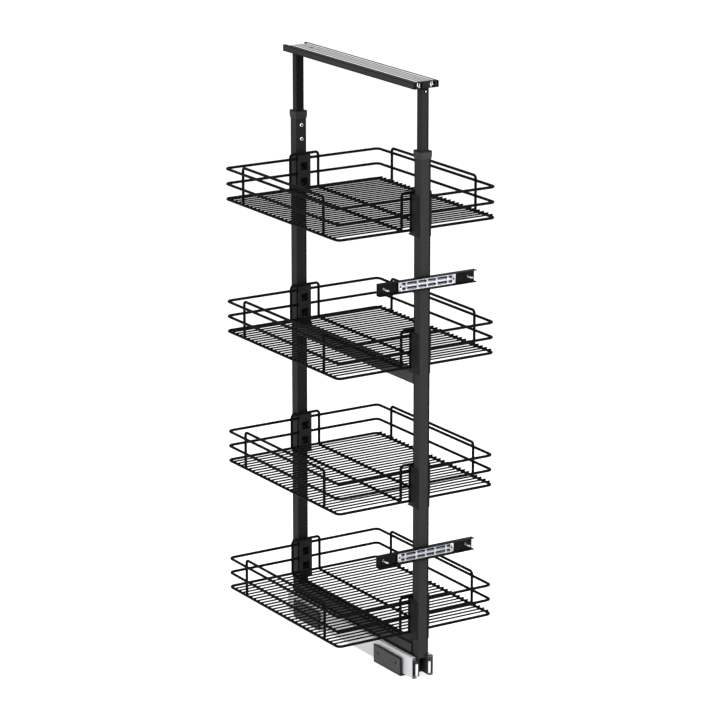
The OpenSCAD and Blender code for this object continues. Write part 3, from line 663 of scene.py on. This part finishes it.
def bent_wire_tree():
    """Round wire along every run of edges, bent at its corners."""
    graph = new_tree("bent_wire", {
        "Route": "NodeSocketGeometry", "Wire radius": "NodeSocketFloat", "Bend radius": "NodeSocketFloat",
        "Sides": "NodeSocketInt", "Material": "NodeSocketMaterial"})
    inside = graph.inside
    route = graph.out("GeometryNodeMeshToCurve", {}, {"Mesh": inside["Route"]})
    bends = graph.out("GeometryNodeFilletCurve", {"mode": "POLY"}, {
        "Curve": route, "Count": BEND_STEPS, "Radius": inside["Bend radius"], "Limit Radius": True})
    round_section = graph.out("GeometryNodeCurvePrimitiveCircle", {}, {
        "Resolution": inside["Sides"], "Radius": inside["Wire radius"]})
    wire = graph.out("GeometryNodeCurveToMesh", {}, {
        "Curve": bends, "Profile Curve": round_section, "Fill Caps": True})
    return close_tree(graph, wire)


def wire_row_tree():
    """A row of straight wires along X, spaced along Y around the middle."""
    graph = new_tree("wire_row", {
        "Count": "NodeSocketInt", "Pitch": "NodeSocketFloat", "Half length": "NodeSocketFloat",
        "Wire radius": "NodeSocketFloat", "Height": "NodeSocketFloat", "Sides": "NodeSocketInt",
        "Material": "NodeSocketMaterial"})
    count, pitch, half_length, height = (
        Number(graph, graph.inside[name]) for name in ("Count", "Pitch", "Half length", "Height"))
    start = graph.out("ShaderNodeCombineXYZ", {}, {"Y": (count - 1) * pitch * -0.5, "Z": height})
    step = graph.out("ShaderNodeCombineXYZ", {}, {"Y": pitch})
    row = graph.out("GeometryNodeMeshLine", {}, {"Count": count, "Start Location": start, "Offset": step})
    left = graph.out("ShaderNodeCombineXYZ", {}, {"X": half_length * -1})
    right = graph.out("ShaderNodeCombineXYZ", {}, {"X": half_length})
    line = graph.out("GeometryNodeCurvePrimitiveLine", {}, {"Start": left, "End": right})
    round_section = graph.out("GeometryNodeCurvePrimitiveCircle", {}, {
        "Resolution": graph.inside["Sides"], "Radius": graph.inside["Wire radius"]})
    wire = graph.out("GeometryNodeCurveToMesh", {}, {
        "Curve": line, "Profile Curve": round_section, "Fill Caps": True})
    wires = graph.out("GeometryNodeInstanceOnPoints", {}, {"Points": row, "Instance": wire})
    return close_tree(graph, wires)


def weld_tree():
    """Small flattened weld beads on two rows of points."""
    graph = new_tree("weld_beads", {
        "Count": "NodeSocketInt", "Pitch": "NodeSocketFloat", "Row spacing": "NodeSocketFloat",
        "Height": "NodeSocketFloat", "Bead": "NodeSocketVector", "Material": "NodeSocketMaterial"})
    count = Number(graph, graph.inside["Count"])
    length = (count - 1) * Number(graph, graph.inside["Pitch"])
    rows = graph.out("GeometryNodeMeshGrid", {}, {
        "Size X": graph.inside["Row spacing"], "Size Y": length, "Vertices X": 2, "Vertices Y": count})
    lift = graph.out("ShaderNodeCombineXYZ", {}, {"Z": graph.inside["Height"]})
    placed = graph.out("GeometryNodeTransform", {}, {"Geometry": rows, "Translation": lift})
    bead = graph.out("GeometryNodeMeshUVSphere", {}, {
        "Segments": BEAD_SEGMENTS, "Rings": BEAD_RINGS, "Radius": 1.0})
    beads = graph.out("GeometryNodeInstanceOnPoints", {}, {
        "Points": placed, "Instance": bead, "Scale": graph.inside["Bead"]})
    return close_tree(graph, beads)


def run_tree(name, mesh, tree, **values):
    """A new piece made by a tree from the values of its named inputs."""
    piece = add_object(name, mesh)
    modifier = piece.modifiers.new("make", "NODES")
    modifier.node_group = tree
    for socket in tree.interface.items_tree:
        key = socket.name.replace(" ", "_").lower()
        if key in values:
            modifier[socket.identifier] = values[key]
    return settle(piece)


def route_mesh(name, routes):
    """A mesh of edge runs. Each route is its points and whether it closes."""
    points, edges = [], []
    for route, closed in routes:
        first = len(points)
        points += route
        edges += [(first + i, first + i + 1) for i in range(len(route) - 1)]
        if closed:
            edges.append((len(points) - 1, first))
    mesh = bpy.data.meshes.new(name)
    mesh.from_pydata(points, edges, [])
    return mesh


def basket_sizes():
    """Half sizes of a basket's centre lines, heights over the bottom ring's, and count of grid wires."""
    low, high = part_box("basket_1_rings")
    size = {"x": high.x - RING_WIRE / 2, "y": high.y - RING_WIRE / 2}
    size["grid_z"] = RING_WIRE / 2 + GRID_WIRE / 2 - WELD_SINK
    size["run_z"] = size["grid_z"] - GRID_WIRE / 2 - HANGER_WIRE / 2 + WELD_SINK
    size["inner_y"] = size["y"] - RING_WIRE / 2 - HANGER_WIRE / 2 + WELD_SINK
    size["inner_x"] = size["x"] - RING_WIRE / 2 - HANGER_WIRE / 2 + WELD_SINK
    size["guard_z"] = high.z - low.z - RING_WIRE / 2 - HANGER_WIRE / 2
    size["hanger_z"] = (RINGS - 1) * RING_PITCH + HANGER_RISE
    size["count"] = int((2 * size["y"] - RING_WIRE) / GRID_PITCH)
    return size


def join(name, pieces):
    """One piece from several."""
    shape = bmesh.new()
    for piece in pieces:
        shape.from_mesh(piece.data)
    mesh = pieces[0].data
    shape.to_mesh(mesh)
    shape.free()
    joined = add_object(name, mesh)
    for piece in pieces:
        bpy.data.objects.remove(piece)
    return joined


def outer_wires(size, coat):
    """The rings, the hanger wire that runs under the grid and up at both ends, and the two side guards."""
    x, y, inner_x, inner_y = size["x"], size["y"], size["inner_x"], size["inner_y"]
    rings = [([(-x, -y, z), (x, -y, z), (x, y, z), (-x, y, z)], True)
             for z in (ring * RING_PITCH for ring in range(RINGS))]
    half, low, top = HANGER_WIDTH / 2, size["run_z"], size["hanger_z"]
    hanger = [(-half, -inner_y, low), (-half, -inner_y, top), (half, -inner_y, top), (half, -inner_y, low),
              (half, inner_y, low), (half, inner_y, top), (-half, inner_y, top), (-half, inner_y, low)]
    arm, guard_z = GUARD_LENGTH / 2, size["guard_z"]
    guards = [([(s * inner_x, -arm, 0), (s * inner_x, -arm, guard_z),
                (s * inner_x, arm, guard_z), (s * inner_x, arm, 0)], False) for s in (-1, 1)]
    bent = bent_wire_tree()
    ring_wires = run_tree("ring_wires", route_mesh("rings", rings), bent, wire_radius=RING_WIRE / 2,
                          bend_radius=RING_CORNER, sides=WIRE_SIDES, material=coat)
    hung_wires = run_tree("hanger_wires", route_mesh("hangers", [(hanger, True)] + guards), bent,
                          wire_radius=HANGER_WIRE / 2, bend_radius=WIRE_BEND, sides=WIRE_SIDES,
                          material=coat)
    return join("outer_wires", [ring_wires, hung_wires])


def floor_wires(size, coat):
    """The grid, with a weld bead under each wire where it crosses the bottom ring and the hanger wire."""
    empty = bpy.data.meshes.new("empty")
    grid = run_tree("grid_wires", empty, wire_row_tree(), count=size["count"], pitch=GRID_PITCH,
                    half_length=size["x"] + RING_WIRE / 2, wire_radius=GRID_WIRE / 2, height=size["grid_z"],
                    sides=GRID_SIDES, material=coat)
    welds = weld_tree()
    bead = (GRID_WIRE * BEAD_WIDTH, GRID_WIRE * BEAD_WIDTH, GRID_WIRE * BEAD_HEIGHT)
    beads = [run_tree(f"beads_{row}", empty, welds, count=size["count"], pitch=GRID_PITCH,
                      row_spacing=spacing, height=size["grid_z"] - GRID_WIRE / 2, bead=bead, material=coat)
             for row, spacing in (("ring", 2 * size["x"]), ("hanger", HANGER_WIDTH))]
    return join("floor_wires", [grid] + beads)


def add_baskets():
    size = basket_sizes()
    outer, floor = outer_wires(size, FINISHES["wire_coat"]), floor_wires(size, FINISHES["wire_coat"])
    for basket in BASKETS:
        ring_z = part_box(f"basket_{basket}_rings")[0].z + RING_WIRE / 2
        for made, part, node in ((outer, "wires", "rings"), (floor, "floor", "grid")):
            mesh = made.data.copy()
            mesh.transform(Matrix.Translation((0, 0, ring_z)))
            stand_for(add_object(f"basket_{basket}_{part}", mesh), f"basket_{basket}_{node}")
    bpy.data.objects.remove(outer)
    bpy.data.objects.remove(floor)


# ---------------------------------------------------------------- door screws

SCREW_HEAD = 8 * MM
SCREW_HEAD_HEIGHT = 2.4 * MM
SCREW_NECK = 4.4 * MM
SCREW_NECK_END = 2.3 * MM
SCREW_CORE = 2.4 * MM
SCREW_POINT = 0.4 * MM
SCREW_TAPER = 5 * MM
THREAD_PITCH = 1.8 * MM
THREAD_RIDGE = 0.8 * MM     # height over the core
THREAD_STEPS = 14           # to one turn
RIDGE_CORNERS = 4
HEAD_SIDES, CORE_SIDES = 24, 16


def wood_screw_tree():
    """A wood screw on each of two points: its head behind the sheet, the rest through it and in front."""
    graph = new_tree("wood_screws", {
        "Spacing": "NodeSocketFloat", "Place": "NodeSocketVector", "Length": "NodeSocketFloat",
        "Material": "NodeSocketMaterial"})
    length = Number(graph, graph.inside["Length"])
    taper_start = length - SCREW_TAPER

    def turned(low_radius, high_radius, start, height, sides):
        cone = graph.out("GeometryNodeMeshCone", {}, {
            "Vertices": sides, "Radius Bottom": low_radius, "Radius Top": high_radius, "Depth": height})
        lift = graph.out("ShaderNodeCombineXYZ", {}, {"Z": start})
        return graph.out("GeometryNodeTransform", {}, {"Geometry": cone, "Translation": lift})

    core, neck = SCREW_CORE / 2, SCREW_NECK / 2
    thread_run = taper_start - SCREW_NECK_END
    thread = graph.out("GeometryNodeCurveSpiral", {}, {
        "Resolution": THREAD_STEPS, "Rotations": thread_run * (1 / THREAD_PITCH),
        "Start Radius": core, "End Radius": core, "Height": thread_run})
    ridge = graph.out("GeometryNodeCurvePrimitiveCircle", {}, {
        "Resolution": RIDGE_CORNERS, "Radius": THREAD_RIDGE})
    thread = graph.out("GeometryNodeCurveToMesh", {}, {
        "Curve": thread, "Profile Curve": ridge, "Fill Caps": True})
    lift = graph.out("ShaderNodeCombineXYZ", {}, {"Z": SCREW_NECK_END})
    thread = graph.out("GeometryNodeTransform", {}, {"Geometry": thread, "Translation": lift})
    screw = graph.node("GeometryNodeJoinGeometry")
    for shape in (turned(SCREW_HEAD / 2, SCREW_HEAD / 2, -SCREW_HEAD_HEIGHT, SCREW_HEAD_HEIGHT, HEAD_SIDES),
                  turned(neck, neck, 0.0, SCREW_NECK_END, HEAD_SIDES),
                  turned(core, core, SCREW_NECK_END, thread_run, CORE_SIDES),
                  turned(core, SCREW_POINT / 2, taper_start, SCREW_TAPER, CORE_SIDES), thread):
        graph.feed(screw.inputs[0], shape)
    half = Number(graph, graph.inside["Spacing"]) * 0.5
    start = graph.out("ShaderNodeCombineXYZ", {}, {"X": half * -1})
    step = graph.out("ShaderNodeCombineXYZ", {}, {"X": half * 2})
    pair = graph.out("GeometryNodeMeshLine", {}, {"Count": 2, "Start Location": start, "Offset": step})
    placed = graph.out("GeometryNodeTransform", {}, {
        "Geometry": pair, "Translation": graph.inside["Place"]})
    screws = graph.out("GeometryNodeInstanceOnPoints", {}, {
        "Points": placed, "Instance": screw.outputs[0], "Rotation": (math.radians(90), 0, 0)})
    return close_tree(graph, screws)


def add_door_screws():
    tree = wood_screw_tree()
    for level in ("upper", "lower"):
        node = f"{level}_door_screws"
        low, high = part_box(node)
        sheet_y = high.y - SCREW_HEAD_HEIGHT
        piece = run_tree(node + "_threaded", bpy.data.meshes.new(node), tree,
                         spacing=high.x - low.x - SCREW_HEAD, place=(0, sheet_y, (low.z + high.z) / 2),
                         length=sheet_y - low.y, material=FINISHES["zinc_screw"])
        for face in piece.data.polygons:
            face.use_smooth = False
        stand_for(piece, node)


# ---------------------------------------------------------------- room and light

FLOOR_HALF = 40
FLOOR_DROP = 0.5 * MM       # keeps the floor clear of the brackets' undersides
FLOOR_PAINT = (0.8, 0.8, 0.8)
FLOOR_GLOW = 0.75           # share of white that the floor shows of itself


def seen_directly(graph):
    """1 for a ray from the camera, a mirror or glass, 0 for one that lights a surface."""
    path = graph.node("ShaderNodeLightPath")
    seen = Number(graph, path.outputs["Is Camera Ray"]) + Number(graph, path.outputs["Is Glossy Ray"])
    return seen + Number(graph, path.outputs["Is Transmission Ray"])


def add_room():
    """Pale floor that keeps the shadow. The white surround is the world."""
    mesh = bpy.data.meshes.new("studio_floor")
    mesh.from_pydata([(-FLOOR_HALF, -FLOOR_HALF, 0), (FLOOR_HALF, -FLOOR_HALF, 0),
                      (FLOOR_HALF, FLOOR_HALF, 0), (-FLOOR_HALF, FLOOR_HALF, 0)], [], [(0, 1, 2, 3)])
    floor = add_object("studio_floor", mesh)
    floor.location.z = -FLOOR_DROP
    finish = Finish("studio_floor_paint", Base_Color=(*FLOOR_PAINT, 1), Roughness=1.0,
                    Specular_IOR_Level=0.0)
    finish.set(Emission_Color=(1, 1, 1, 1), Emission_Strength=seen_directly(finish) * FLOOR_GLOW)
    mesh.materials.append(finish.material)


WORLD_LIGHT = 0.4           # strength for rays that light a surface


def add_world():
    """Surround that shows white and lights the object less than it shows."""
    world = bpy.data.worlds.new("white_surround")
    world.use_nodes = True
    bpy.context.scene.world = world
    graph = Graph(world.node_tree)
    background = world.node_tree.nodes["Background"]
    graph.feed(background.inputs["Color"], (1, 1, 1, 1))
    graph.feed(background.inputs["Strength"], seen_directly(graph) * (1 - WORLD_LIGHT) + WORLD_LIGHT)


LAMPS_AIM = (0, 0, 0.65)    # the middle of the unit


def add_lamp(name, place, size, watts):
    data = bpy.data.lights.new(name, "AREA")
    data.shape = "RECTANGLE"
    data.size, data.size_y = size
    data.energy = watts
    lamp = bpy.data.objects.new(name, data)
    lamp.location = place
    lamp.rotation_euler = (Vector(LAMPS_AIM) - Vector(place)).to_track_quat("-Z", "Y").to_euler()
    bpy.context.scene.collection.objects.link(lamp)


def add_lamps():
    add_lamp("front_softbox", place=(1.6, -3.6, 1.6), size=(2.2, 2.6), watts=85)
    add_lamp("left_softbox", place=(-3.4, -1.8, 1.0), size=(1.8, 2.2), watts=60)
    add_lamp("top_softbox", place=(0, 0, 3.6), size=(2.5, 2.5), watts=60)


add_camera()
dress_cad_nodes()
add_baskets()
add_door_screws()
soften_edges()
add_room()
add_world()
add_lamps()
bpy.context.scene.view_settings.view_transform = "Standard"
